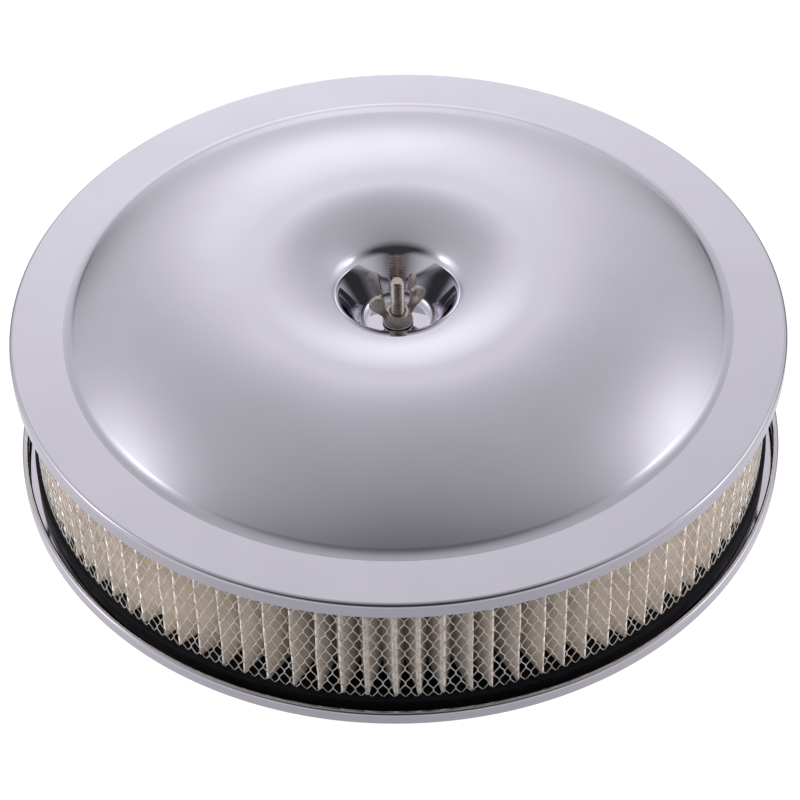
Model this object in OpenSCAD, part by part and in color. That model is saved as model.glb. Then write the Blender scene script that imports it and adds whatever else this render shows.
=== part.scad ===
// Round open-element air cleaner for a four-barrel carburettor.
// A chromed lid and a chromed base pan clamp a pleated paper ring between them.
// One threaded stud through the middle and one wing nut hold the stack together.
// Millimetres, +Z up. Origin: centre of the plane that the base rests on.

/* [Element] */
// Height of the paper element between the lid and the base, seals pressed
element_h = 75; // [60:1:100]
// Outside diameter of the two moulded seals
seal_d = 347; // [345:0.5:348]
// Radial width of a seal
seal_w = 25.5; // [25:0.5:27]
// Height of a seal
seal_h = 8.5; // [6:0.5:10]
// Number of paper pleats around the ring
pleats = 98; // [60:2:120]
// Thickness of the paper
paper_t = 0.6; // [0.4:0.1:0.8]
// Thickness of the expanded-metal screens
screen_t = 0.6; // [0.4:0.1:0.8]

/* [Lid] */
// Diameter of the lid over its turned-down lip
lid_d = 355.6; // [355:0.1:357]
// Depth of the turned-down lip below the flat rim
lid_lip = 7.4; // [5:0.2:9]
// Diameter at the inner edge of the flat rim
rim_in_d = 306.4; // [305:0.2:308]
// Diameter of the dome's foot, inside the raised step next to the rim
foot_d = 295.8; // [294:0.2:297]
// Height of the dome's foot above the rim
foot_h = 2.2; // [2:0.1:3]
// Height of the dome's crown above the rim
crown_h = 23.5; // [23:0.1:24.5]
// Steepest slope of the dome, at its foot, in degrees
dome_slope = 31; // [30.5:0.1:32]
// Slope of the funnel inside the crown, in degrees
funnel_slope = 25; // [24:0.5:26]
// Diameter at the edge of the centre well
well_d = 56.4; // [55:0.2:57]
// Height of the well's edge above the rim
well_edge_h = 14.8; // [14:0.1:15.2]
// Slope of the well's wall, in degrees
well_slope = 60.5; // [60:0.5:63]
// Depth of the well's floor below the rim
well_floor = 6; // [5:0.2:6.4]
// Thickness of the lid's sheet steel
lid_t = 0.9; // [0.7:0.1:1.0]

/* [Base] */
// Diameter of the base over its rolled lip
base_d = 359.2; // [358:0.2:361]
// Height of the rolled lip above the resting plane
base_lip = 7.8; // [7:0.2:9]
// Radius of the rolled bead on the lip
bead_r = 1.5; // [1.2:0.1:1.8]
// Height of the raised pan's underside above the resting plane
pan_h = 16; // [14:0.5:18]
// Bore of the neck that slips over the carburettor's air horn
neck_d = 130.8; // [130.3:0.1:131.2]
// Height of the neck collar above the pan's underside
neck_h = 9; // [7:0.5:10]
// Thickness of the base's sheet steel
base_t = 0.9; // [0.7:0.1:1.0]
// Thickness of the neck gasket
gasket_t = 3; // [2:0.5:4]
// Reach of the neck gasket outwards from the neck's bore
gasket_w = 14.6; // [10:0.2:18]

/* [Fasteners] */
// Major diameter of the stud, quarter inch
stud_d = 6.35; // [6:0.05:6.35]
// Length of the stud
stud_len = 69.8; // [66:0.2:71]
// Height of the stud's tip above the lid's rim
stud_tip = 19; // [18:0.5:21]
// Span of the wing nut over its wings
wing_span = 27.5; // [24:0.5:30]
// Height of the wing nut
wing_h = 16.5; // [15:0.5:17]
// Turn of the wings from the X axis, in degrees
wing_yaw = 20; // [-90:1:90]

/* [Breather] */
// Outside diameter of the breather nipple
nipple_d = 19; // [16:0.5:20]
// Distance of the nipple from the centre
nipple_y = 103; // [98:1:110]

/* [Hidden] */
$fn = 96;
arc_step = 6;
chrome = [0.78, 0.77, 0.81];
nickel = [0.64, 0.60, 0.55];
paper_colour = [0.84, 0.78, 0.70];
rubber = [0.06, 0.06, 0.07];

// Heights of the stack
seat_z = base_t;
rim_z = seat_z + element_h + lid_t;
screen_z0 = seat_z + seal_h;
screen_h = element_h - 2 * seal_h;
well_z = rim_z - well_floor;

// Radii of the element, from outside in
seal_ro = seal_d / 2;
seal_ri = seal_ro - seal_w;
screen_inset = 2;
outer_screen_r = seal_ro - screen_inset;
pleat_ro = outer_screen_r - screen_t - 0.2;
inner_screen_r = seal_ri + 1.2;
pleat_ri = inner_screen_r + screen_t + 0.2;

// Fasteners
stud_r = stud_d / 2;
thread_gap = 0.05;
hole_r = stud_r + 0.425;
stud_chamfer = 0.8;
stud_z0 = rim_z + stud_tip - stud_len;
washer_t = 0.75;
nut_z = well_z + 2 * washer_t;
lock_nut_flats = 11.1;
lock_nut_h = 4;
lock_nut_rise = 12;

// Breather fitting in the raised pan
breather_hole_r = nipple_d / 2 + 3;
grommet_lip = 2;
waist_r = nipple_d / 2 - 0.3;

function unit(v) = v / norm(v);
function flat(p) = [p[0], p[1]];
function left_of(v) = [-v[1], v[0]];

// Arc of radius r that rounds the corner b between the legs towards a and c
function corner(a, b, c, r) =
  let (
    u = unit(a - b),
    v = unit(c - b),
    half = acos(u * v) / 2,
    centre = b + unit(u + v) * r / sin(half),
    start = b + u * r / tan(half) - centre,
    end = b + v * r / tan(half) - centre,
    from = atan2(start[1], start[0]),
    sweep = (atan2(end[1], end[0]) - from + 540) % 360 - 180,
    steps = max(3, ceil(abs(sweep) / arc_step))
  )
  [for (i = [0:steps]) let (t = from + sweep * i / steps) centre + r * [cos(t), sin(t)]];

// A path whose points may carry a third number, the radius that rounds them
function rounded(path) = [
  for (i = [0:len(path) - 1])
    each len(path[i]) < 3
      ? [flat(path[i])]
      : corner(flat(path[i - 1]), flat(path[i]), flat(path[i + 1]), path[i][2])
];

// Offset direction at point i, to the left of the path and mitred at corners
function mitre(path, i) =
  let (
    last = len(path) - 1,
    before = left_of(unit(path[max(i, 1)] - path[max(i, 1) - 1])),
    after = left_of(unit(path[min(i, last - 1) + 1] - path[min(i, last - 1)])),
    mean = unit(before + after)
  )
  mean / (mean * after);

// The same path shifted by t to its left, in reverse order
function back_side(path, t) = [for (i = [len(path) - 1:-1:0]) path[i] + t * mitre(path, i)];

// Ring with square edges
module ring(ro, ri, h) {
  difference() {
    cylinder(h = h, r = ro);
    translate([0, 0, -1]) cylinder(h = h + 2, r = ri);
  }
}

// Sheet steel of the lid: lip, flat rim, hollow step, dome, funnel and well, from outside in
module lid() {
  well_r = well_d / 2;
  rim_r = rim_in_d / 2;
  foot_r = foot_d / 2;
  step_r = rim_r - 2.9;
  step_h = 0.6;
  dome_corner = foot_r - (crown_h - foot_h) / tan(dome_slope);
  funnel_corner = well_r + (crown_h - well_edge_h) / tan(funnel_slope);
  floor_corner = well_r - (well_edge_h + well_floor) / tan(well_slope);
  top = rounded([
    [lid_d / 2, -lid_lip],
    [lid_d / 2, 0, 2],
    [rim_r, 0, 1],
    [step_r, step_h, 9],
    [foot_r, foot_h],
    [dome_corner, crown_h, 148],
    [funnel_corner, crown_h, 74],
    [well_r, well_edge_h, 11],
    [floor_corner, -well_floor, 5],
    [hole_r, -well_floor]
  ]);
  color(chrome)
    translate([0, 0, rim_z])
      rotate_extrude()
        polygon(concat(top, back_side(top, lid_t)));
}

// Sheet steel of the base: neck collar, raised pan, step, flat seat and rolled lip
module base_plate() {
  base_r = base_d / 2;
  bead_x = base_r - bead_r;
  bead_z = base_lip - bead_r;
  bead_end = 360 - acos(1 - base_t / bead_r);
  step_top_r = 134;
  step_foot_r = 143;
  under = rounded([
    [neck_d / 2, pan_h + neck_h],
    [neck_d / 2, pan_h, 2.4],
    [step_top_r, pan_h, 4],
    [step_foot_r, 0, 4],
    [base_r, 0, 2.4],
    [base_r, bead_z + bead_r * sin(bead_end)]
  ]);
  bead = [
    for (i = [0:30])
      let (t = bead_end * i / 30)
        [bead_x + bead_r * cos(t), bead_z + bead_r * sin(t)]
  ];
  inside = back_side(under, base_t);
  color(chrome)
    difference() {
      rotate_extrude()
        polygon(concat(under, bead, [for (i = [1:len(inside) - 1]) inside[i]]));
      translate([0, nipple_y, pan_h - 1]) cylinder(h = base_t + 2, r = breather_hole_r);
    }
}

// Flat ring that seals the neck on the carburettor's ledge
module neck_gasket() {
  color(rubber)
    translate([0, 0, pan_h - gasket_t])
      ring(neck_d / 2 + gasket_w, neck_d / 2 + 2.6, gasket_t);
}

// Threaded rod that stands in the carburettor's boss; a groove ends its lower thread
module stud() {
  groove_r = 2.7;
  groove_top = lock_nut_rise - 0.4;
  groove_w = 1.2;
  color(nickel)
    translate([0, 0, stud_z0])
      rotate_extrude()
        polygon([
          [0, 0],
          [stud_r - stud_chamfer, 0],
          [stud_r, stud_chamfer],
          [stud_r, groove_top - groove_w],
          [groove_r, groove_top - groove_w],
          [groove_r, groove_top],
          [stud_r, groove_top],
          [stud_r, stud_len - stud_chamfer],
          [stud_r - stud_chamfer, stud_len],
          [0, stud_len]
        ]);
}

// Thin hexagon nut that locks the stud on the carburettor's boss
module stud_lock_nut() {
  color(nickel)
    translate([0, 0, stud_z0 + lock_nut_rise])
      difference() {
        cylinder(h = lock_nut_h, r = lock_nut_flats / 2 / cos(30), $fn = 6);
        translate([0, 0, -1]) cylinder(h = lock_nut_h + 2, r = stud_r + thread_gap);
      }
}

// Rubber ring with a groove that grips the edge of the breather hole
module breather_grommet() {
  gap = 0.05;
  inner = waist_r + gap;
  neck = breather_hole_r - 2 * gap;
  lip = breather_hole_r + 2.6;
  bevel = 0.6;
  color(rubber)
    translate([0, nipple_y, pan_h])
      rotate_extrude()
        polygon([
          [inner, -grommet_lip],
          [lip - bevel, -grommet_lip],
          [lip, bevel - grommet_lip],
          [lip, -gap],
          [neck, -gap],
          [neck, base_t + gap],
          [lip, base_t + gap],
          [lip, base_t + grommet_lip - bevel],
          [lip - bevel, base_t + grommet_lip],
          [inner, base_t + grommet_lip]
        ]);
}

// Flanged tube for the crankcase breather hose, with a waist where the grommet grips it
module breather_nipple() {
  tube_r = nipple_d / 2;
  wall = 1.4;
  foot_z = 1;
  waist_z = pan_h - grommet_lip - 0.5;
  flange_w = 3.5;
  flange_z = pan_h + base_t + grommet_lip;
  color(chrome)
    translate([0, nipple_y, 0])
      rotate_extrude()
        polygon([
          [tube_r - wall, foot_z],
          [tube_r, foot_z],
          [tube_r, waist_z],
          [waist_r, waist_z],
          [waist_r, flange_z],
          [tube_r + flange_w, flange_z],
          [tube_r + flange_w, flange_z + wall],
          [tube_r - wall, flange_z + wall]
        ]);
}

// Moulded ring: z = 0 is the face that seals, and its inner edge is bevelled
module seal_ring() {
  color(rubber)
    rotate_extrude()
      polygon(rounded([
        [seal_ri, seal_h],
        [seal_ri, 4.4],
        [seal_ri + 6, 0],
        [seal_ro, 0, 1.2],
        [seal_ro, seal_h, 1.2],
        [seal_ro - screen_inset, seal_h]
      ]));
}

module bottom_seal() {
  translate([0, 0, seat_z]) seal_ring();
}

module top_seal() {
  translate([0, 0, seat_z + element_h]) mirror([0, 0, 1]) seal_ring();
}

module outer_screen() {
  color(chrome)
    translate([0, 0, screen_z0])
      ring(outer_screen_r, outer_screen_r - screen_t, screen_h);
}

module inner_screen() {
  color(chrome)
    translate([0, 0, screen_z0])
      ring(inner_screen_r + screen_t, inner_screen_r, screen_h);
}

// Seam of the paper: both ends stand side by side in the pleat at the back
flap_t = 2 * paper_t;
flap_ro = pleat_ro - 6;
clip_t = 0.5;

// Zigzag sheet, folded into pleats and closed by its two end flaps
module pleated_paper() {
  half_fold = atan((pleat_ro * sin(180 / pleats)) / (pleat_ro - pleat_ri));
  shift = paper_t / sin(half_fold);
  fold_angles = [for (i = [0:2 * pleats - 1]) 90 + 180 * i / pleats];
  outline = [
    for (i = [0:2 * pleats - 1])
      (i % 2 == 0 ? pleat_ri + shift : pleat_ro) * [cos(fold_angles[i]), sin(fold_angles[i])]
  ];
  inside = [
    for (i = [0:2 * pleats - 1])
      (i % 2 == 0 ? pleat_ri : pleat_ro - shift) * [cos(fold_angles[i]), sin(fold_angles[i])]
  ];
  color(paper_colour)
    translate([0, 0, screen_z0])
      linear_extrude(screen_h)
        union() {
          difference() {
            polygon(outline);
            polygon(inside);
          }
          translate([-flap_t / 2, pleat_ri + shift / 2]) square([flap_t, flap_ro - pleat_ri - shift / 2]);
        }
}

// Folded metal strip that pinches the paper's two end flaps
module paper_seam_clip() {
  clip_len = 7;
  gap = 0.02;
  color(chrome)
    translate([0, flap_ro - clip_len, screen_z0 + 0.5])
      linear_extrude(screen_h - 1)
        difference() {
          translate([-flap_t / 2 - gap - clip_t, 0])
            square([flap_t + 2 * gap + 2 * clip_t, clip_len + gap + clip_t]);
          translate([-flap_t / 2 - gap, -1]) square([flap_t + 2 * gap, clip_len + gap + 1]);
        }
}

// Soft washer that seals the hole in the well
module sealing_washer() {
  color(rubber) translate([0, 0, well_z]) ring(6.9, stud_r + 0.3, washer_t);
}

module flat_washer() {
  color(nickel) translate([0, 0, well_z + washer_t]) ring(7.1, stud_r + 0.2, washer_t);
}

// One wing: a flat plate that leaves the hub and ends in a round ear
module wing() {
  ear_r = 3.9;
  plate_t = 2.4;
  ear_x = wing_span / 2 - ear_r;
  ear_z = wing_h - ear_r;
  rotate([90, 0, 0])
    translate([0, 0, -plate_t / 2])
      linear_extrude(plate_t)
        union() {
          translate([ear_x, ear_z]) circle(r = ear_r);
          polygon([
            [4.2, 0.8],
            [6.4, 1.2],
            [8.2, 5],
            [ear_x + ear_r * cos(-35), ear_z + ear_r * sin(-35)],
            [ear_x + ear_r * cos(125), ear_z + ear_r * sin(125)],
            [4.2, 5]
          ]);
        }
}

module wing_nut() {
  hub_h = 5.4;
  color(nickel)
    translate([0, 0, nut_z])
      rotate([0, 0, wing_yaw])
        difference() {
          union() {
            cylinder(h = hub_h, r1 = 6.6, r2 = 5.6);
            wing();
            mirror([1, 0, 0]) wing();
          }
          translate([0, 0, -1]) cylinder(h = hub_h + 2, r = stud_r + thread_gap);
        }
}

base_plate();
neck_gasket();
stud();
stud_lock_nut();
breather_grommet();
breather_nipple();
bottom_seal();
outer_screen();
pleated_paper();
paper_seam_clip();
inner_screen();
top_seal();
lid();
sealing_washer();
flat_washer();
wing_nut();
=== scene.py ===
"""Looks for the round open-element air cleaner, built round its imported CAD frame.

A chromed lid and base pan clamp a pleated paper ring between two moulded rubber seals.
Shapes are worked out in millimetres in the row frame and become metres when a mesh is made.
"""

import math
import random

import bpy
import numpy as np
from mathutils import Matrix, Vector


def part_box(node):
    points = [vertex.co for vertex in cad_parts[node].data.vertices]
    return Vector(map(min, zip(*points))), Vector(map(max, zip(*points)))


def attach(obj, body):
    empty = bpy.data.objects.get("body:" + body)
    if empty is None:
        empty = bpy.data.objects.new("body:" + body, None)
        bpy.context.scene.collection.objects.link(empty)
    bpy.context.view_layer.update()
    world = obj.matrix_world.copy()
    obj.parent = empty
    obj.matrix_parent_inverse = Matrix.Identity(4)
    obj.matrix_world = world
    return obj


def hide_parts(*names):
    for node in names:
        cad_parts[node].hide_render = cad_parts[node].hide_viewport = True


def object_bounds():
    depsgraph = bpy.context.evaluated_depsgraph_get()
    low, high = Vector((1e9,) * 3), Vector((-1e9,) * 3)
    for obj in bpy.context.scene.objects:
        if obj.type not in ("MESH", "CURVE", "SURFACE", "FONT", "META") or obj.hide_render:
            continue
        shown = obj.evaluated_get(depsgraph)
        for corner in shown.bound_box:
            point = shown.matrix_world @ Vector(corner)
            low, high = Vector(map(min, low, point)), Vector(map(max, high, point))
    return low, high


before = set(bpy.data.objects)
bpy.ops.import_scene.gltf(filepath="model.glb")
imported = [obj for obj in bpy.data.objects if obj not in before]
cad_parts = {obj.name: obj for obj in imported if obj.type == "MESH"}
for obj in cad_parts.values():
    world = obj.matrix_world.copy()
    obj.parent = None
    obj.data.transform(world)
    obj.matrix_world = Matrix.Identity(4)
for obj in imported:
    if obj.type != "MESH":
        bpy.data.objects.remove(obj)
cad_low, cad_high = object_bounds()

MM = 0.001
TAU = 2 * math.pi


def reach(node):
    """Half width, lowest and highest point of a CAD node, in millimetres."""
    low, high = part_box(node)
    return (high.x - low.x) / 2 / MM, low.z / MM, high.z / MM


LID_R, _, LID_TOP = reach("lid")
BASE_R = cad_high.x / MM
SEAL_R, SEAT_Z, SEAL_TOP = reach("bottom_seal")
_, _, LID_UNDER = reach("top_seal")
SCREEN_R, SCREEN_LOW, SCREEN_HIGH = reach("outer_screen")
INNER_R, _, _ = reach("inner_screen")
STUD_R, STUD_FOOT, STUD_TIP = reach("stud")
_, WELL_Z, _ = reach("sealing_washer")
_, WASHER_Z, NUT_Z = reach("flat_washer")
SHEET_T = 0.9
RIM_Z = LID_UNDER + SHEET_T
PAPER_T = 0.6
PAPER_LOW, PAPER_HIGH = SCREEN_LOW - 0.3, SCREEN_HIGH + 0.3
PAN_Z = 16.0
BREATHER_HOLE_R = 12.5
NIPPLE_Y = (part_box("breather_nipple")[0].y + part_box("breather_nipple")[1].y) / 2 / MM


# Outlines: lists of (radius, height) points, in millimetres


def corner(a, b, c, r, step=1.5):
    """Arc of radius r that rounds the corner b between its legs to a and c; step is in degrees."""
    longest_step = 0.9
    a, b, c = Vector(a[:2]), Vector(b[:2]), Vector(c[:2])
    u, v = (a - b).normalized(), (c - b).normalized()
    half = math.acos(max(-1.0, min(1.0, u.dot(v)))) / 2
    centre = b + (u + v).normalized() * r / math.sin(half)
    start = b + u * r / math.tan(half) - centre
    end = b + v * r / math.tan(half) - centre
    turn = math.atan2(start.y, start.x)
    sweep = (math.atan2(end.y, end.x) - turn + 1.5 * TAU) % TAU - math.pi
    count = max(4, math.ceil(abs(math.degrees(sweep)) / step), math.ceil(abs(sweep) * r / longest_step))
    angles = [turn + sweep * i / count for i in range(count + 1)]
    return [centre + r * Vector((math.cos(t), math.sin(t))) for t in angles]


def rounded(path, step=1.5):
    """The path with each point that carries a third number rounded by that radius."""
    points = []
    for i, point in enumerate(path):
        if len(point) > 2:
            points += corner(path[i - 1], point, path[(i + 1) % len(path)], point[2], step)
        else:
            points.append(Vector(point))
    return points


def supported(points, margin=0.25):
    """The points and extra ones near the ends of long straight stretches, which keep shading true."""
    result = []
    for i, point in enumerate(points):
        result.append(point)
        after = points[(i + 1) % len(points)]
        length = (after - point).length
        if length > 4 * margin:
            result += [point.lerp(after, margin / length), point.lerp(after, 1 - margin / length)]
    return result


def sheet(path, t):
    """Closed outline of a sheet of thickness t whose other face lies to the left of the path."""
    back = []
    for i in range(len(path)):
        ahead = (path[min(i, len(path) - 2) + 1] - path[min(i, len(path) - 2)]).normalized()
        behind = (path[max(i, 1)] - path[max(i, 1) - 1]).normalized()
        mean = Vector((-(ahead + behind).y, (ahead + behind).x)).normalized()
        back.append(path[i] + t * mean / mean.dot(Vector((-ahead.y, ahead.x))))
    return path + back[::-1]


# Meshes


def new_object(name, vertices, faces):
    """Object from vertices in millimetres and faces, which may differ in their number of corners."""
    mesh = bpy.data.meshes.new(name)
    polygons = faces.tolist() if isinstance(faces, np.ndarray) else faces
    mesh.from_pydata((np.asarray(vertices, float) * MM).tolist(), [], polygons)
    mesh.validate()
    obj = bpy.data.objects.new(name, mesh)
    bpy.context.scene.collection.objects.link(obj)
    return obj


def smooth(obj, angle=32):
    """Shades the object smoothly, apart from edges that bend by more than some degrees."""
    obj.data.shade_smooth()
    obj.data.set_sharp_from_angle(angle=math.radians(angle))
    return obj


def apply_modifiers(obj):
    """Swaps the object's mesh for the one that its modifiers make."""
    graph = bpy.context.evaluated_depsgraph_get()
    mesh = bpy.data.meshes.new_from_object(obj.evaluated_get(graph))
    obj.modifiers.clear()
    obj.data = mesh
    return obj


def joined(name, pieces):
    """One object with the geometry of several, which are removed."""
    vertices, faces = [], []
    for piece in pieces:
        start = len(vertices)
        vertices += [np.array(vertex.co, float) / MM for vertex in piece.data.vertices]
        faces += [[start + k for k in polygon.vertices] for polygon in piece.data.polygons]
        bpy.data.objects.remove(piece)
    return new_object(name, vertices, faces)


def ring_faces(rows, columns, rows_close):
    """Quads of a grid whose columns close on themselves, and whose rows do too if rows_close."""
    i, k = np.meshgrid(np.arange(rows if rows_close else rows - 1), np.arange(columns), indexing="ij")
    j, m = (i + 1) % rows, (k + 1) % columns
    return np.stack([i * columns + k, i * columns + m, j * columns + m, j * columns + k], -1).reshape(-1, 4)


def lathe(name, outline, steps=360, centre=(0, 0)):
    """Solid of revolution of a closed outline about a vertical line through the centre."""
    points = np.array([tuple(p) for p in outline], float)
    following = np.roll(points, -1, 0)
    area_twice = np.sum(points[:, 0] * following[:, 1] - following[:, 0] * points[:, 1])
    if area_twice < 0:
        points = points[::-1]
    turns = np.arange(steps) * TAU / steps
    x = points[:, :1] * np.sin(turns) + centre[0]
    y = centre[1] - points[:, :1] * np.cos(turns)
    z = np.repeat(points[:, 1:], steps, 1)
    obj = new_object(name, np.stack([x, y, z], -1).reshape(-1, 3), ring_faces(len(points), steps, True))
    return smooth(obj)


def cut(obj, tool):
    """Takes the tool's volume out of obj and removes the tool."""
    boolean = obj.modifiers.new("cut", "BOOLEAN")
    boolean.operation = "DIFFERENCE"
    boolean.solver = "EXACT"
    boolean.object = tool
    apply_modifiers(obj)
    bpy.data.objects.remove(tool)
    return smooth(obj)


# Pieces of sheet steel


def lid():
    """Lip, flat rim, hollow step, dome, funnel and well, from outside in."""
    lip, crown, floor = 7.4, LID_TOP - RIM_Z, WELL_Z - RIM_Z
    rim_r, foot_r, foot_h = 153.2, 147.9, 2.2
    step_r, step_h = rim_r - 2.9, 0.6
    well_r, well_edge = 28.2, 14.8
    dome_slope, funnel_slope, well_slope = (math.radians(a) for a in (31, 25, 60.5))
    dome_corner = foot_r - (crown - foot_h) / math.tan(dome_slope)
    funnel_corner = well_r + (crown - well_edge) / math.tan(funnel_slope)
    floor_corner = well_r - (well_edge - floor) / math.tan(well_slope)
    hole_r = STUD_R + 0.425
    top = rounded([
        (LID_R, -lip),
        (LID_R, 0, 2),
        (rim_r, 0, 1),
        (step_r, step_h, 9),
        (foot_r, foot_h, 0.3),
        (dome_corner, crown, 148),
        (funnel_corner, crown, 74),
        (well_r, well_edge, 11),
        (floor_corner, floor, 5),
        (hole_r, floor),
    ])
    raised = [point + Vector((0, RIM_Z)) for point in top]
    return lathe("lid_shell", supported(sheet(raised, SHEET_T)), 480)


def base():
    """Neck collar, raised pan, step, flat seat and rolled lip, with the hole for the breather."""
    lip, bead = 7.8, 1.5
    neck_r, neck_h = 65.4, 9
    step_top, step_foot = 134, 143
    bead_end = TAU - math.acos(1 - SHEET_T / bead)
    under = rounded([
        (neck_r, PAN_Z + neck_h),
        (neck_r, PAN_Z, 2.4),
        (step_top, PAN_Z, 4),
        (step_foot, 0, 4),
        (BASE_R, 0, 2.4),
        (BASE_R, lip - bead + bead * math.sin(bead_end)),
    ])
    centre = Vector((BASE_R - bead, lip - bead))
    curl = [centre + bead * Vector((math.cos(t), math.sin(t))) for t in np.linspace(0, bead_end, 60)]
    back = sheet(under, SHEET_T)[len(under):]
    obj = lathe("base_pan", supported(under + curl + back[1:]), 480)
    near_axis, foot, top = 0.01, PAN_Z - 1, PAN_Z + 3
    plug = [(near_axis, foot), (BREATHER_HOLE_R, foot), (BREATHER_HOLE_R, top), (near_axis, top)]
    return cut(obj, lathe("hole", plug, 96, (0, NIPPLE_Y)))


# Pieces of the element


def seal(name, foot, way):
    """Moulded ring; foot is the height of the face that seals and way points from it to the paper."""
    height = SEAL_TOP - SEAT_Z
    inner, bevel_w, bevel_h = 148.0, 6, 4.4
    screen_edge = SCREEN_R + 0.05
    outline = rounded([
        (inner, height, 0.8),
        (inner, bevel_h, 0.6),
        (inner + bevel_w, 0, 0.8),
        (SEAL_R, 0, 1.2),
        (SEAL_R, height, 1.0),
        (screen_edge + 0.25, height, 0.2),
        (screen_edge, height + 0.3, 0.1),
        (screen_edge - 0.7, height + 0.3, 0.1),
        (screen_edge - 1.0, height - 0.1, 0.2),
        (INNER_R + 1.0, height - 0.1, 0.2),
        (INNER_R + 0.6, height + 0.25, 0.1),
        (INNER_R - 0.7, height + 0.25, 0.1),
        (INNER_R - 0.9, height, 0.1),
    ], step=12)
    placed = [Vector((p.x, foot + way * p.y)) for p in outline]
    return lathe(name, supported(placed, 0.15), 384)


def strand_path(cell_w, cell_h, strand_w):
    """Points (along the sleeve, height, outwards) of one upright zigzag strand with bonds on both sides."""
    bond, lean, tuck = 1.5, 0.18, 0.8
    twist, bend_at, bend_out = 0.16, 0.78, 0.1
    low, high = SCREEN_LOW - tuck, SCREEN_HIGH + tuck
    inset = 0.42 * strand_w
    path = []
    for j in range(-1, math.ceil((high - low) / (cell_h / 2)) + 2):
        z = low + j * cell_h / 2
        x, way = (inset, 1) if j % 2 == 0 else (cell_w / 2 - inset, -1)
        path += [(x + way * lean, z - bond * bend_at, bend_out), (x, z - bond / 2, twist)]
        path += [(x, z + bond / 2, -twist), (x + way * lean, z + bond * bend_at, -bend_out)]
    path = [p for p in path if low <= p[1] <= high]
    return np.array([(path[0][0], low, path[0][2])] + path + [(path[-1][0], high, path[-1][2])])


def expanded_metal(name, mid_r, cell_w=4.8, cell_h=9.9):
    """Diamond lattice rolled into a cylinder: pairs of zigzag strands that meet at short bonds."""
    strand_w, strand_t, tilt = 0.34, 0.34, math.radians(18)
    cells = round(TAU * mid_r / cell_w)
    cell_w = TAU * mid_r / cells
    path = strand_path(cell_w, cell_h, strand_w)
    ahead = np.gradient(path[:, :2], axis=0)
    ahead /= np.linalg.norm(ahead, axis=1, keepdims=True)
    across = np.stack([ahead[:, 1], -ahead[:, 0]], 1)
    quads = ring_faces(len(path), 4, False)
    caps = np.array([[3, 2, 1, 0], [4 * len(path) - 4 + k for k in range(4)]])
    strand_faces = np.concatenate([quads, caps])
    vertices, faces = [], []
    for mirror in (1, -1):
        section = []
        for a, b in ((1, 1), (-1, 1), (-1, -1), (1, -1)):
            u = a * strand_w / 2 * math.cos(tilt) - b * strand_t / 2 * math.sin(tilt)
            v = a * strand_w / 2 * math.sin(tilt) + b * strand_t / 2 * math.cos(tilt)
            section.append(np.stack([
                mirror * (path[:, 0] + across[:, 0] * u),
                path[:, 1] + across[:, 1] * u,
                path[:, 2] + v,
            ], 1))
        strand = np.stack(section[::mirror], 1)
        for i in range(cells):
            turn = (strand[..., 0] + i * cell_w) / mid_r
            r = mid_r + strand[..., 2]
            points = np.stack([r * np.sin(turn), -r * np.cos(turn), strand[..., 1]], -1).reshape(-1, 3)
            faces.append(strand_faces + len(points) * len(vertices))
            vertices.append(points)
    return smooth(new_object(name, np.concatenate(vertices), np.concatenate(faces)), 50)


def pleated_paper(pleats=98):
    """Folded paper ring whose folds are rounded and slightly uneven; it closes at the back."""
    outer, inner = SCREEN_R - 0.8 - PAPER_T / 2, INNER_R + 0.2 + PAPER_T / 2
    fold, levels, walls = 0.5, 13, 5
    ripple, ripple_rise, ripples = 0.12, 9 / 58, 5
    rng = random.Random(4)
    tips = [rng.gauss(0, 0.09) for _ in range(pleats)]
    depths = [abs(rng.gauss(0, 0.35)) for _ in range(pleats)]
    roots = [rng.gauss(0, 0.05) for _ in range(pleats)]
    sway = np.array([[rng.gauss(0, 0.22) for _ in range(levels)] for _ in range(pleats)])
    sway[:, 1:-1] = (sway[:, :-2] + sway[:, 1:-1] + sway[:, 2:]) / 2
    bend = [k * math.radians(38) for k in range(-2, 3)]
    columns = []
    for i in range(pleats):
        centre_in, centre_out = i + roots[i], i + 0.5 + tips[i]
        centre_next = i + 1 + roots[(i + 1) % pleats]
        r_out = outer - depths[i]
        deep = r_out - inner
        for a in bend:
            columns.append((centre_in, fold * math.sin(a), inner + fold * (1 - math.cos(a)), i, 0.0))
        for k in range(1, walls):
            f = k / walls
            columns.append((centre_in + (centre_out - centre_in) * f, 0, inner + deep * f, i, f))
        for a in bend:
            columns.append((centre_out, fold * math.sin(a), r_out - fold * (1 - math.cos(a)), i, 1.0))
        for k in range(1, walls):
            f = 1 - k / walls
            columns.append((centre_next + (centre_out - centre_next) * f, 0, inner + deep * f, i, f))
    centre, aside, radii, pleat, share = np.array(columns).T
    turns = math.pi + TAU / pleats * centre + aside / radii
    outside, inside = [], []
    for level, z in enumerate(np.linspace(PAPER_LOW, PAPER_HIGH, levels)):
        held = math.sin(math.pi * level / (levels - 1))
        shift = sway[pleat.astype(int), level] * held + ripple * np.sin(ripple_rise * z + ripples * turns)
        angles = turns + shift * share / radii
        line = np.stack([radii * np.sin(angles), -radii * np.cos(angles)], 1)
        along = np.roll(line, -1, 0) - np.roll(line, 1, 0)
        along /= np.linalg.norm(along, axis=1, keepdims=True)
        out = np.stack([along[:, 1], -along[:, 0]], 1)
        heights = np.full((len(line), 1), z)
        outside.append(np.concatenate([line + out * PAPER_T / 2, heights], 1))
        inside.append(np.concatenate([line - out * PAPER_T / 2, heights], 1))
    faces = ring_faces(2 * levels, len(columns), True)[:, ::-1]
    return smooth(new_object("paper_pleats", np.concatenate(outside + inside[::-1]), faces), 60)


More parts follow.
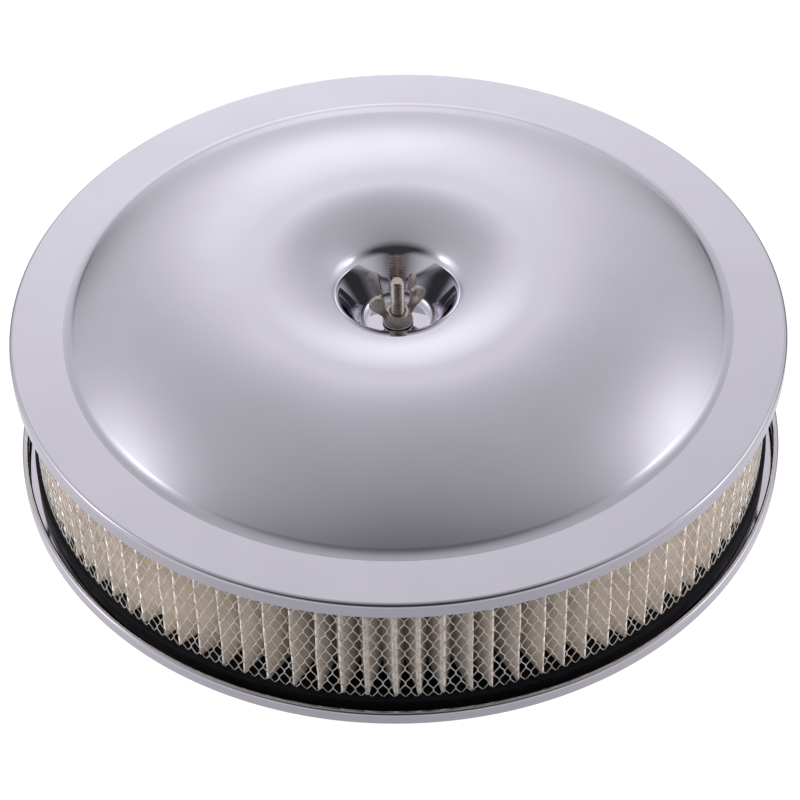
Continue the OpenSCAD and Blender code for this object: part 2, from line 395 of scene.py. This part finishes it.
def flap():
    """The paper's two end flaps, side by side, with a soft bend at the free edge."""
    root, tip = INNER_R + 0.6, SCREEN_R - 6.8
    gap, bend, levels = 0.03, 0.15, 9
    outline = [
        (gap, root),
        (gap, tip - bend),
        (gap + bend, tip),
        (PAPER_T - bend, tip),
        (PAPER_T, tip - 0.2),
        (PAPER_T, root),
    ]
    count = len(outline)
    vertices, faces = [], []
    for side in (-1, 1):
        start = len(vertices)
        end = start + (levels - 1) * count
        for z in np.linspace(PAPER_LOW, PAPER_HIGH, levels):
            sway = 0.04 * math.sin(z / 9)
            vertices += [(side * x + sway * (y - root) / (tip - root), y, z) for x, y in outline]
        quads = ring_faces(levels, count, False) + start
        faces += quads[:, ::-side].tolist()
        faces.append(list(range(start, start + count))[::-side])
        faces.append(list(range(end, end + count))[::side])
    return smooth(new_object("paper_flap", vertices, faces), 40)


def seam_clip():
    """Folded metal strip that pinches the flaps, crimped at even steps."""
    low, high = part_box("paper_seam_clip")
    half, root, tip = high.x / MM, low.y / MM, high.y / MM
    t, bend, crimp_depth, crimp_pitch = 0.5, 0.75, 0.1, 7.2
    outer = rounded([(half, root), (half, tip, bend), (-half, tip, bend), (-half, root)], 15)
    outline = sheet(outer, t)
    middle = 0.3
    heights = np.linspace(low.z / MM, high.z / MM, 65)
    vertices = []
    for z in heights:
        crimp = crimp_depth * max(0.0, math.sin(TAU * (z - heights[0]) / crimp_pitch)) ** 2
        vertices += [(p.x - math.copysign(crimp, p.x) * (abs(p.x) > middle), p.y, z) for p in outline]
    faces = ring_faces(len(heights), len(outline), False).tolist()
    count = len(outline)
    for start, way in ((0, 1), (count * (len(heights) - 1), -1)):
        for k in range(count // 2 - 1):
            quad = [start + k, start + k + 1, start + count - 2 - k, start + count - 1 - k]
            faces.append(quad[::way])
    return smooth(new_object("seam_clip_strip", vertices, faces), 40)


# Fasteners


def thread_radius(phase, minor, major):
    """Radius over one pitch of a rounded sixty-degree thread; phase runs from 0 to 1."""
    flank = np.abs((phase % 1.0) - 0.5) * 2
    return minor + (major - minor) * np.clip((flank - 0.12) / 0.76, 0, 1)


def stud():
    """Threaded rod with chamfered ends and a plain groove above its lower thread."""
    pitch, minor, chamfer, dimple = 1.27, 2.52, 0.8, (0.05, 0.08)
    groove_r, groove_low, groove_high = 2.7, STUD_FOOT + 10.4, STUD_FOOT + 11.6
    steps, per_pitch = 48, 12
    heights = np.arange(STUD_FOOT, STUD_TIP + 1e-6, pitch / per_pitch)
    heights = np.append(heights[heights < STUD_TIP - 0.02], STUD_TIP)
    turns = np.arange(steps) * TAU / steps
    r = thread_radius(heights[:, None] / pitch - turns[None] / TAU, minor, STUD_R)
    ends = np.minimum(heights - STUD_FOOT, STUD_TIP - heights)[:, None]
    r = np.minimum(r, STUD_R - chamfer + ends)
    r[(heights > groove_low) & (heights < groove_high)] = groove_r
    x, y = r * np.sin(turns), -r * np.cos(turns)
    z = np.repeat(heights[:, None], steps, 1)
    vertices = np.stack([x, y, z], -1).reshape(-1, 3)
    foot, tip = len(vertices), len(vertices) + 1
    middles = [(0, 0, STUD_FOOT + dimple[0]), (0, 0, STUD_TIP - dimple[1])]
    faces = ring_faces(len(heights), steps, False).tolist()
    last = (len(heights) - 1) * steps
    for k in range(steps):
        after = (k + 1) % steps
        faces.append([after, k, foot])
        faces.append([last + k, last + after, tip])
    return smooth(new_object("stud_thread", np.concatenate([vertices, middles]), faces), 28)


def lock_nut():
    """Thin hexagon nut with both faces chamfered and its bore countersunk."""
    low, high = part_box("stud_lock_nut")
    flat, bore, sink = 11.1 / 2, STUD_R + 0.1, 0.5
    point = flat / math.cos(math.radians(30))
    steps = 144
    turns = np.arange(steps) * TAU / steps
    hexagon = flat / np.cos((turns + TAU / 12) % (TAU / 6) - TAU / 12)
    chamfer = ((0, flat * 0.97), (0.35, flat + 0.25), (0.75, point))
    z0, z1 = low.z / MM, high.z / MM
    rows = [(np.minimum(hexagon, limit), z0 + depth) for depth, limit in chamfer]
    rows += [(np.minimum(hexagon, limit), z1 - depth) for depth, limit in chamfer[::-1]]
    for z, r in ((z1, bore + sink), (z1 - sink, bore), (z0 + sink, bore), (z0, bore + sink)):
        rows.append((np.full(steps, r), z))
    grid = [np.stack([r * np.cos(turns), r * np.sin(turns), np.full(steps, z)], 1) for r, z in rows]
    faces = ring_faces(len(rows), steps, True)
    return smooth(new_object("lock_nut_hexagon", np.concatenate(grid), faces), 24)


def wing_outline(span, height):
    """Side view of one wing, from the hub out to its round ear."""
    ear = 3.9
    ear_x, ear_z = span / 2 - ear, height - ear
    sweep = [math.radians(a) for a in range(-55, 146, 8)]
    tip = [(ear_x + ear * math.cos(a), ear_z + ear * math.sin(a)) for a in sweep]
    return [(4.0, 0.9), (6.2, 1.3), (8.1, 5.0)] + tip + [(6.4, 10.5), (5.8, 7.4), (5.0, 5.6), (4.0, 5.0)]


def wing_nut():
    """Cast wing nut: the hub and two wings, fused and softened."""
    span, height, plate, yaw = 27.4, reach("wing_nut")[2] - NUT_Z, 2.3, math.radians(20)
    bore, hub_h, voxel, softening = STUD_R + 0.12, 5.4, 0.2, 6
    hub = lathe("hub", [
        (bore, 0),
        (6.5, 0),
        (6.6, 0.5),
        (5.7, hub_h - 0.3),
        (5.3, hub_h),
        (bore + 0.6, hub_h),
        (bore, hub_h - 0.5),
    ], 96)
    outline = wing_outline(span, height)
    count = len(outline)
    vertices, faces = [], []
    for side in (-1, 1):
        start = len(vertices)
        for depth in (-plate / 2, plate / 2):
            vertices += [(side * x, depth * side, z) for x, z in outline]
        faces.append(list(range(start, start + count)))
        faces.append(list(range(start + count, start + 2 * count))[::-1])
        for k in range(count):
            after = (k + 1) % count
            faces.append([start + after, start + k, start + count + k, start + count + after])
    nut = joined("wing_nut_cast", (hub, new_object("wings", vertices, faces)))
    remesh = nut.modifiers.new("fuse", "REMESH")
    remesh.mode = "VOXEL"
    remesh.voxel_size = voxel * MM
    soften = nut.modifiers.new("soften", "SMOOTH")
    soften.iterations = softening
    apply_modifiers(nut)
    turn = np.array([[math.cos(yaw), -math.sin(yaw)], [math.sin(yaw), math.cos(yaw)]])
    for vertex in nut.data.vertices:
        x, y = turn @ np.array(vertex.co[:2])
        vertex.co = (x, y, vertex.co.z + NUT_Z * MM)
    return smooth(nut, 60)


def washer(name, z0, z1, inner, outer, edge):
    """Flat ring with rounded edges."""
    outline = rounded([(inner, z0, edge), (outer, z0, edge), (outer, z1, edge), (inner, z1, edge)], 20)
    return lathe(name, supported(outline, 0.1), 128)


def gasket():
    """Flat fibre ring on the underside of the raised pan."""
    _, z0, z1 = reach("neck_gasket")
    inner, outer = 68.0, 80.0
    outline = rounded([(inner, z0, 0.5), (outer, z0, 0.5), (outer, z1, 0.2), (inner, z1, 0.2)], 20)
    return lathe("gasket_ring", supported(outline, 0.2), 256)


def grommet():
    """Rubber ring with a groove that grips the edge of the breather hole."""
    inner, lip, thick, play = 9.25, BREATHER_HOLE_R + 2.6, 2, 0.05
    groove = BREATHER_HOLE_R - 0.1
    foot, top = PAN_Z, PAN_Z + SHEET_T
    outline = rounded([
        (inner, foot - thick, 0.4),
        (lip, foot - thick, 0.9),
        (lip, foot - play, 0.3),
        (groove, foot - play, 0.1),
        (groove, top + play, 0.1),
        (lip, top + play, 0.3),
        (lip, top + thick, 0.9),
        (inner, top + thick, 0.4),
    ], 15)
    return lathe("grommet_ring", supported(outline, 0.1), 128, (0, NIPPLE_Y))


def nipple():
    """Flanged tube for the crankcase breather hose, with a waist where the grommet grips it."""
    tube, waist, bore, flange = 9.5, 9.2, 8.1, 13.0
    foot, waist_z, flange_z, top = 1.0, 13.5, 18.9, 20.3
    outline = rounded([
        (bore, foot, 0.3),
        (tube, foot, 0.5),
        (tube, waist_z, 0.1),
        (waist, waist_z + 0.3, 0.1),
        (waist, flange_z, 0.2),
        (flange, flange_z, 0.5),
        (flange, top, 0.6),
        (bore, top, 0.6),
    ], 15)
    return lathe("nipple_tube", supported(outline, 0.1), 128, (0, NIPPLE_Y))


# Materials


class Finish:
    """A Principled material whose inputs are varied by noise in object space."""

    def __init__(self, name, colour, metallic, roughness):
        self.material = bpy.data.materials.new(name)
        self.material.use_nodes = True
        self.nodes = self.material.node_tree.nodes
        self.links = self.material.node_tree.links
        self.shader = self.nodes["Principled BSDF"]
        self.shader.inputs["Base Color"].default_value = (*colour, 1)
        self.shader.inputs["Metallic"].default_value = metallic
        self.shader.inputs["Roughness"].default_value = roughness
        self.place = self.nodes.new("ShaderNodeTexCoord").outputs["Object"]

    def noise(self, size, detail=2.0, stretch=(1, 1, 1)):
        """Noise whose lumps are about size millimetres across."""
        scaled = self.nodes.new("ShaderNodeVectorMath")
        scaled.operation = "MULTIPLY"
        scaled.inputs[1].default_value = stretch
        self.links.new(self.place, scaled.inputs[0])
        texture = self.nodes.new("ShaderNodeTexNoise")
        texture.inputs["Scale"].default_value = 1 / (size * MM)
        texture.inputs["Detail"].default_value = detail
        self.links.new(scaled.outputs[0], texture.inputs["Vector"])
        return texture.outputs["Fac"]

    def spread(self, source, low, high, start=0.3, stop=0.7):
        """The source, from start to stop, spread over low to high."""
        node = self.nodes.new("ShaderNodeMapRange")
        self.links.new(source, node.inputs["Value"])
        for name, value in (("From Min", start), ("From Max", stop), ("To Min", low), ("To Max", high)):
            node.inputs[name].default_value = value
        return node.outputs["Result"]

    def mix(self, source, first, second, start=0.3, stop=0.7):
        """Colour that goes from first to second as the source goes from start to stop."""
        node = self.nodes.new("ShaderNodeMix")
        node.data_type = "RGBA"
        self.links.new(self.spread(source, 0.0, 1.0, start, stop), node.inputs["Factor"])
        for socket, colour in ((node.inputs[6], first), (node.inputs[7], second)):
            if hasattr(colour, "is_output"):
                self.links.new(colour, socket)
            else:
                socket.default_value = (*colour, 1)
        return node.outputs[2]

    def drive(self, name, output):
        """Links an output to the shader's input of that name."""
        self.links.new(output, self.shader.inputs[name])

    def bump(self, source, distance, strength=1.0, under=None):
        """Bump of the given height in millimetres, on top of another bump if one is given."""
        node = self.nodes.new("ShaderNodeBump")
        node.inputs["Strength"].default_value = strength
        node.inputs["Distance"].default_value = distance * MM
        self.links.new(source, node.inputs["Height"])
        if under is not None:
            self.links.new(under, node.inputs["Normal"])
        self.links.new(node.outputs["Normal"], self.shader.inputs["Normal"])
        return node.outputs["Normal"]


CHROME = (0.76, 0.74, 0.80)


def chrome_finish():
    """Bright chrome plate: slow waves of the pressed sheet, faint haze and fine polishing marks."""
    finish = Finish("chrome", CHROME, 1.0, 0.05)
    haze = finish.noise(34, 3)
    marks = finish.noise(1.2, 4, (1, 1, 6))
    finish.drive("Roughness", finish.spread(haze, 0.035, 0.075))
    finish.drive("Base Color", finish.mix(haze, CHROME, (0.73, 0.71, 0.765)))
    waves = finish.bump(finish.noise(60, 1), 0.05)
    finish.bump(marks, 0.0006, 1.0, waves)
    return finish.material


def nickel_finish():
    """Warm nickel plate on a casting: mottled, slightly grainy."""
    finish = Finish("nickel", (0.51, 0.46, 0.40), 1.0, 0.28)
    cloud = finish.noise(3.5, 4)
    finish.drive("Base Color", finish.mix(cloud, (0.41, 0.36, 0.31), (0.61, 0.55, 0.48)))
    finish.drive("Roughness", finish.spread(cloud, 0.18, 0.38))
    coarse = finish.bump(finish.noise(1.6, 3), 0.05, 0.6)
    finish.bump(finish.noise(0.3, 2), 0.012, 0.6, coarse)
    return finish.material


def zinc_finish():
    """Dull zinc plate with a faint spangle."""
    finish = Finish("zinc", (0.63, 0.63, 0.64), 1.0, 0.36)
    spangle = finish.noise(1.8, 3)
    finish.drive("Base Color", finish.mix(spangle, (0.55, 0.55, 0.56), (0.70, 0.70, 0.71)))
    finish.drive("Roughness", finish.spread(spangle, 0.28, 0.45))
    finish.bump(finish.noise(0.4, 3), 0.01, 0.7)
    return finish.material


def screen_finish():
    """Bare expanded steel: bright slit edges, small dull patches."""
    finish = Finish("screen", (0.49, 0.48, 0.475), 0.5, 0.42)
    patch = finish.noise(7, 3)
    finish.drive("Base Color", finish.mix(patch, (0.42, 0.41, 0.41), (0.56, 0.545, 0.54)))
    finish.drive("Roughness", finish.spread(patch, 0.36, 0.52))
    finish.bump(finish.noise(0.35, 2), 0.01, 0.5)
    return finish.material


def paper_finish():
    """Resin-treated filter paper: soft blotches, short fibres and a fine nap."""
    finish = Finish("paper", (0.70, 0.62, 0.54), 0.0, 0.88)
    blotch = finish.noise(22, 3)
    fibre = finish.noise(0.55, 5, (1, 1, 0.35))
    ground = finish.mix(blotch, (0.63, 0.555, 0.48), (0.76, 0.68, 0.595))
    finish.drive("Base Color", finish.mix(fibre, ground, (0.85, 0.79, 0.70), 0.5, 0.85))
    nap = finish.bump(fibre, 0.05, 0.8)
    finish.bump(finish.noise(9, 2), 0.25, 0.5, nap)
    return finish.material


def rubber_finish(name, colour, roughness, grain):
    """Moulded rubber: a fine grain, with the sheen varying over the surface."""
    finish = Finish(name, colour, 0.0, roughness)
    finish.shader.inputs["Specular IOR Level"].default_value = 0.12
    bloom = finish.noise(14, 4)
    lighter = tuple(1.9 * c for c in colour)
    finish.drive("Base Color", finish.mix(bloom, colour, lighter, 0.35, 0.75))
    finish.drive("Roughness", finish.spread(bloom, roughness - 0.07, roughness + 0.1))
    waves = finish.bump(finish.noise(7, 2), 0.06, 0.5)
    finish.bump(finish.noise(grain, 3), 0.012, 0.7, waves)
    return finish.material


def gasket_finish():
    """Pressed cork and fibre: pale chips in a dark binder."""
    finish = Finish("gasket", (0.07, 0.07, 0.075), 0.0, 0.8)
    chips = finish.noise(0.9, 4)
    finish.drive("Base Color", finish.mix(chips, (0.035, 0.035, 0.04), (0.19, 0.17, 0.15), 0.45, 0.68))
    finish.bump(chips, 0.06, 0.8)
    return finish.material


FINISHES = {
    "chrome": chrome_finish(),
    "nickel": nickel_finish(),
    "zinc": zinc_finish(),
    "screen": screen_finish(),
    "paper": paper_finish(),
    "seal": rubber_finish("seal", (0.0028, 0.0028, 0.0034), 0.42, 0.5),
    "grommet": rubber_finish("grommet", (0.014, 0.014, 0.015), 0.5, 0.35),
    "gasket": gasket_finish(),
}


def place(obj, body, slot, *nodes):
    """Gives a piece its finish and the body it rides on, and hides the CAD nodes it stands for."""
    obj.data.materials.clear()
    obj.data.materials.append(FINISHES[slot])
    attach(obj, body)
    if nodes:
        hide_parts(*nodes)


place(base(), "base", "chrome", "base_plate")
place(gasket(), "base", "gasket", "neck_gasket")
place(stud(), "base", "nickel", "stud")
place(lock_nut(), "base", "zinc", "stud_lock_nut")
place(grommet(), "base", "grommet", "breather_grommet")
place(nipple(), "base", "zinc", "breather_nipple")
place(seal("seal_below", SEAT_Z, 1), "element", "seal", "bottom_seal")
place(expanded_metal("screen_outside", SCREEN_R - 0.3), "element", "screen", "outer_screen")
place(pleated_paper(), "element", "paper", "pleated_paper")
place(flap(), "element", "paper")
place(seam_clip(), "element", "screen", "paper_seam_clip")
place(expanded_metal("screen_inside", INNER_R - 0.3), "element", "screen", "inner_screen")
place(seal("seal_above", LID_UNDER, -1), "element", "seal", "top_seal")
place(lid(), "lid", "chrome", "lid")
soft_washer = washer("washer_soft", WELL_Z, WASHER_Z, inner=STUD_R + 0.35, outer=6.9, edge=0.3)
place(soft_washer, "lid", "grommet", "sealing_washer")
plain_washer = washer("washer_plain", WASHER_Z, NUT_Z, inner=STUD_R + 0.25, outer=7.1, edge=0.18)
place(plain_washer, "nut_washer", "zinc", "flat_washer")
place(wing_nut(), "wing_nut", "nickel", "wing_nut")


# Stage, light and camera


def direction(azimuth, elevation):
    """Unit vector; azimuth 0 is away from the camera and 90 to its right."""
    a, e = math.radians(azimuth), math.radians(elevation)
    return Vector((math.sin(a) * math.cos(e), math.cos(a) * math.cos(e), math.sin(e)))


class Sums:
    """Adds up terms in a node tree."""

    def __init__(self, tree):
        self.nodes, self.links = tree.nodes, tree.links

    def math(self, operation, first, second=0.0):
        """One step of arithmetic on two outputs or numbers."""
        node = self.nodes.new("ShaderNodeMath")
        node.operation = operation
        for socket, value in zip(node.inputs, (first, second)):
            if isinstance(value, (int, float)):
                socket.default_value = value
            else:
                self.links.new(value, socket)
        return node.outputs[0]

    def dot(self, vector, constant):
        """Dot product of a vector output and a fixed vector."""
        node = self.nodes.new("ShaderNodeVectorMath")
        node.operation = "DOT_PRODUCT"
        self.links.new(vector, node.inputs[0])
        node.inputs[1].default_value = constant
        return node.outputs["Value"]


def studio_light():
    """Pale walls, soft bright panels behind and beside the part, dark ones by the camera and low behind.

    A panel is (azimuth, elevation, sharpness, strength); dark ones have a negative strength. The values
    were fitted until the lid mirrored what it does in the photograph, and then rounded or set one by one.
    A pale table top shows below the horizon.
    """
    wall, wall_fall, darkest = 0.50, -0.14, 0.03
    table_slope, table_level = (0, 0.16, 0.265), 0.61
    world = bpy.data.worlds.new("studio")
    world.use_nodes = True
    bpy.context.scene.world = world
    sums = Sums(world.node_tree)
    way = world.node_tree.nodes.new("ShaderNodeTexCoord").outputs["Generated"]
    height = sums.dot(way, (0, 0, 1))
    level = sums.math("ADD", sums.math("MULTIPLY", height, wall_fall), wall)
    panels = (
        (-89, 34, 130, 1.10),
        (88, 34, 130, 1.10),
        (180, 26, 7, -0.46),
        (-132, 40, 16, -0.24),
        (132, 40, 16, -0.24),
        (-4, 32, 20, 0.30),
        (-3, 15, 37, 0.23),
        (-78, 35, 29, 0.41),
        (71, 36, 31, 0.44),
        (175, 69, 7.3, -0.15),
        (43, -15, 20, -0.95),
        (-40, -7, 27, -0.48),
    )
    for azimuth, elevation, sharpness, strength in panels:
        closeness = sums.math("SUBTRACT", sums.dot(way, direction(azimuth, elevation)), 1.0)
        lobe = sums.math("EXPONENT", sums.math("MULTIPLY", closeness, sharpness))
        level = sums.math("ADD", level, sums.math("MULTIPLY", lobe, strength))
    level = sums.math("MAXIMUM", level, darkest)
    table = sums.math("ADD", sums.dot(way, table_slope), table_level)
    below = sums.math("SUBTRACT", sums.math("MULTIPLY", height, -5.0), 0.9)
    below = sums.math("MINIMUM", sums.math("MAXIMUM", below, 0.0), 1.0)
    change = sums.math("MULTIPLY", sums.math("SUBTRACT", table, level), below)
    level = sums.math("ADD", level, change)
    background = world.node_tree.nodes["Background"]
    background.inputs["Color"].default_value = (1.01, 1.0, 1.06, 1)
    world.node_tree.links.new(sums.math("DIVIDE", level, CHROME[1]), background.inputs["Strength"])


def fill_light(azimuth, watts):
    """Large soft lamp low at one side; it reaches between the pleats but isn't mirrored in the chrome."""
    distance, elevation = 0.95, 14
    data = bpy.data.lights.new("fill", "AREA")
    data.shape = "RECTANGLE"
    data.size, data.size_y = 0.7, 0.4
    data.energy = watts
    obj = bpy.data.objects.new("fill", data)
    bpy.context.scene.collection.objects.link(obj)
    aim = Vector((0, 0, 0.04))
    obj.location = aim + distance * direction(azimuth, elevation)
    obj.rotation_euler = (obj.location - aim).to_track_quat("Z", "Y").to_euler()
    obj.visible_glossy = False


def only_for_camera(obj):
    obj.visible_diffuse = False
    obj.visible_glossy = False
    obj.visible_transmission = False
    obj.visible_volume_scatter = False
    obj.visible_shadow = False


def backdrop_finish(name, glow, catch):
    """Pale surface that glows evenly and catches a little shadow."""
    material = bpy.data.materials.new(name)
    material.use_nodes = True
    shader = material.node_tree.nodes["Principled BSDF"]
    shader.inputs["Base Color"].default_value = (catch, catch, catch, 1)
    shader.inputs["Roughness"].default_value = 1.0
    shader.inputs["Specular IOR Level"].default_value = 0.0
    shader.inputs["Emission Color"].default_value = (1, 1, 1, 1)
    shader.inputs["Emission Strength"].default_value = glow
    return material


def stage(radius=12.0):
    """Pale round floor and a pale dome over it."""
    steps = 96
    turns = [TAU * i / steps for i in range(steps)]
    floor = bpy.data.meshes.new("floor")
    edge = [(radius * math.cos(t), radius * math.sin(t), 0) for t in turns]
    floor.from_pydata(edge, [], [list(range(steps))])
    floor.materials.append(backdrop_finish("floor", glow=0.90, catch=0.25))
    rows = [math.radians(a) for a in range(0, 86, 5)]
    dome_points = [
        (radius * math.cos(e) * math.cos(t), radius * math.cos(e) * math.sin(t), radius * math.sin(e))
        for e in rows
        for t in turns
    ]
    dome = bpy.data.meshes.new("dome")
    cap = [list(range((len(rows) - 1) * steps, len(rows) * steps))]
    dome.from_pydata(dome_points, [], ring_faces(len(rows), steps, False).tolist() + cap)
    dome.materials.append(backdrop_finish("dome", glow=0.99, catch=0.0))
    for mesh in (floor, dome):
        obj = bpy.data.objects.new(mesh.name, mesh)
        bpy.context.scene.collection.objects.link(obj)
        only_for_camera(obj)


def camera():
    """The photograph's camera: in front and above, aimed below the lid's rim, rolled a little."""
    distance, elevation, roll = 1.2, math.radians(42.8), math.radians(-1.18)
    rim = Vector((0, 0, RIM_Z * MM))
    where = rim + distance * Vector((0, -math.cos(elevation), math.sin(elevation)))
    aim = rim + Vector((0.0002, 0, -0.0572))
    data = bpy.data.cameras.new("camera")
    data.sensor_width = 36
    data.lens = 117.7
    data.clip_start, data.clip_end = 0.05, 40
    obj = bpy.data.objects.new("camera", data)
    bpy.context.scene.collection.objects.link(obj)
    obj.location = where
    obj.rotation_mode = "QUATERNION"
    turn = (aim - where).to_track_quat("-Z", "Y")
    right, up = turn @ Vector((1, 0, 0)), turn @ Vector((0, 1, 0))
    new_up = up * math.cos(roll) - right * math.sin(roll)
    new_right = right * math.cos(roll) + up * math.sin(roll)
    back = new_right.cross(new_up)
    obj.rotation_quaternion = Matrix((new_right, new_up, back)).transposed().to_quaternion()
    bpy.context.scene.camera = obj


studio_light()
fill_light(102, 13.5)
fill_light(-102, 13.5)
stage()
camera()
bpy.context.scene.view_settings.view_transform = "Standard"
